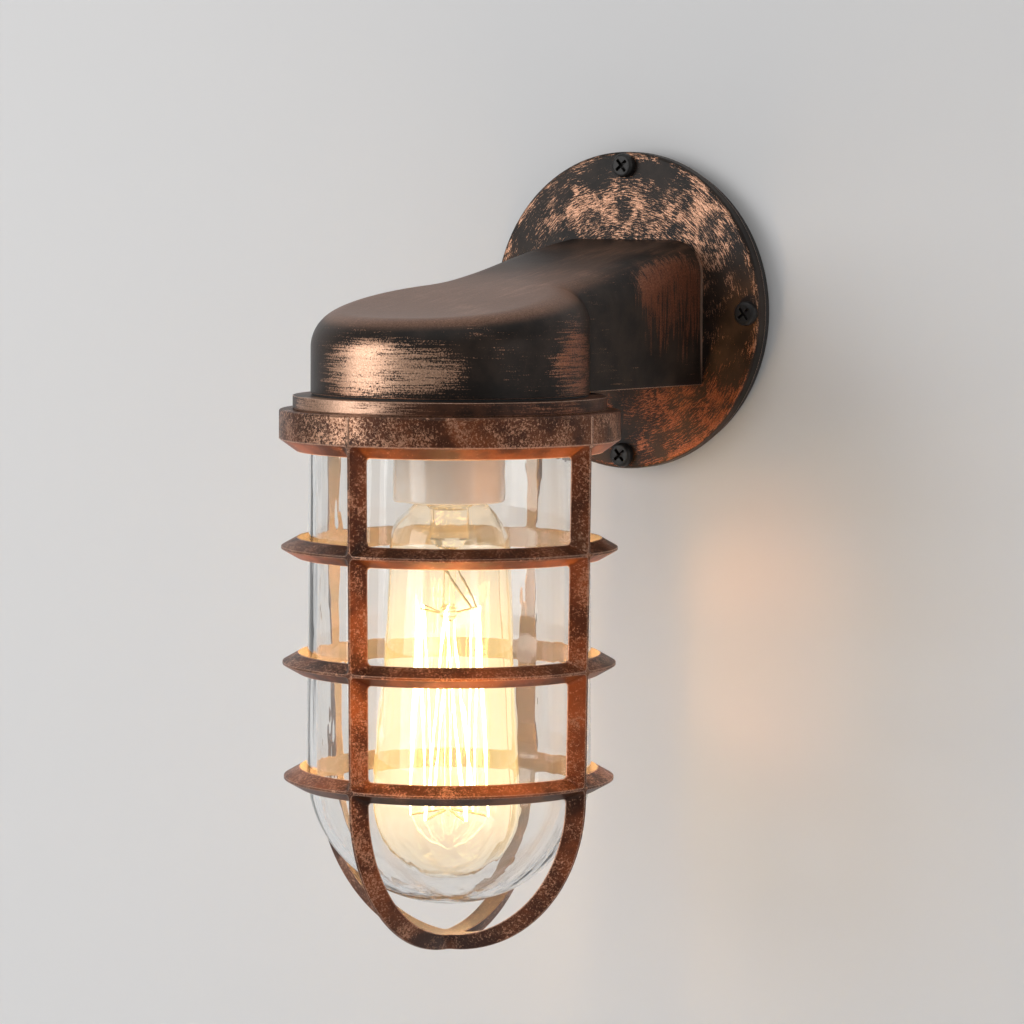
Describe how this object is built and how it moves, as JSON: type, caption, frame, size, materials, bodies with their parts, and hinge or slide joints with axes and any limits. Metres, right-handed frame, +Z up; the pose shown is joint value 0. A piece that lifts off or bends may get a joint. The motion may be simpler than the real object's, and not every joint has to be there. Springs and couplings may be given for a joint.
{
  "type": "cage wall light",
  "caption": "Cage wall light: a cast hood on a hollow arm and round wall plate, with a lamp in a glass jar inside a ribbed screw-on guard.",
  "frame": {"origin": "centre of the wall base's rear face, midway between the wall fixing holes", "axes": "+Y into the wall, so the lamp is towards -Y; +Z up along the lamp axis; +X to the right seen from the front"},
  "size_m": [0.1406, 0.2107, 0.3287],
  "materials": {
    "copper_brushed_casting": "cast aluminium, black-brown, hand-brushed with antique copper so that streaks and edges shine",
    "black_steel": "satin black, slightly textured",
    "black_screws": "blackened steel, matte",
    "zinc_steel": "zinc-plated, dull",
    "black_rubber": "matte black silicone",
    "porcelain": "white glaze, slightly warm",
    "brass": "rolled brass, slightly tarnished",
    "jar_glass": "clear pressed glass, gently wavy",
    "bulb_glass": "clear blown glass with a light amber tint",
    "stem_glass": "clear drawn glass",
    "black_bead": "opaque black glass",
    "solder": "dull solder",
    "lamp_wire": "drawn nickel and molybdenum wire",
    "filament": "lit carbon-style filament, glows warm white",
    "brown_sleeve": "heat-resistant sleeve",
    "blue_sleeve": "heat-resistant sleeve",
    "green_yellow_sleeve": "heat-resistant sleeve, green and yellow"
  },
  "bodies": {
    "housing": {"wall_base": "black_steel", "cable_grommet": "black_rubber", "base_gasket": "black_rubber", "canopy_plate": "copper_brushed_casting", "cover_screws": "black_screws", "arm_screws": "zinc_steel", "arm_hood": "copper_brushed_casting", "neck_gasket": "black_rubber", "neck_ring": "copper_brushed_casting", "neck_screws": "zinc_steel", "jar_gasket": "black_rubber", "holder_bracket": "zinc_steel", "bracket_screws": "zinc_steel", "holder_screws": "zinc_steel", "lampholder": "porcelain", "holder_shell": "brass", "holder_contact": "brass", "holder_terminals": "brass", "terminal_screws": "zinc_steel", "terminal_block": "porcelain", "block_inserts": "brass", "block_screws": "zinc_steel", "live_wire": "brown_sleeve", "neutral_wire": "blue_sleeve", "earth_wire": "green_yellow_sleeve", "earth_lug": "zinc_steel", "earth_screw": "brass"},
    "jar": {"glass_jar": "jar_glass"},
    "cage": {"guard_cage": "copper_brushed_casting"},
    "bulb": {"bulb_glass": "bulb_glass", "bulb_cap": "brass", "bulb_insulator": "black_bead", "bulb_contact": "solder", "bulb_stem": "stem_glass", "lead_wires": "lamp_wire", "upper_supports": "lamp_wire", "lower_supports": "lamp_wire", "filament": "filament"}
  },
  "joints": [
    {"name": "guard_drop", "type": "slide", "parent": "housing", "child": "jar", "axis": [0, 0, -1], "range_m": [0, 0.2]},
    {"name": "guard_turn", "type": "hinge", "parent": "jar", "child": "cage", "pos_m": [0, -0.1404, 0], "axis": [0, 0, -1], "range_deg": [0, 1170]},
    {"name": "bulb_turn", "type": "hinge", "parent": "housing", "child": "bulb", "pos_m": [0, -0.1404, 0], "axis": [0, 0, -1], "range_deg": [0, 1440]}
  ]
}
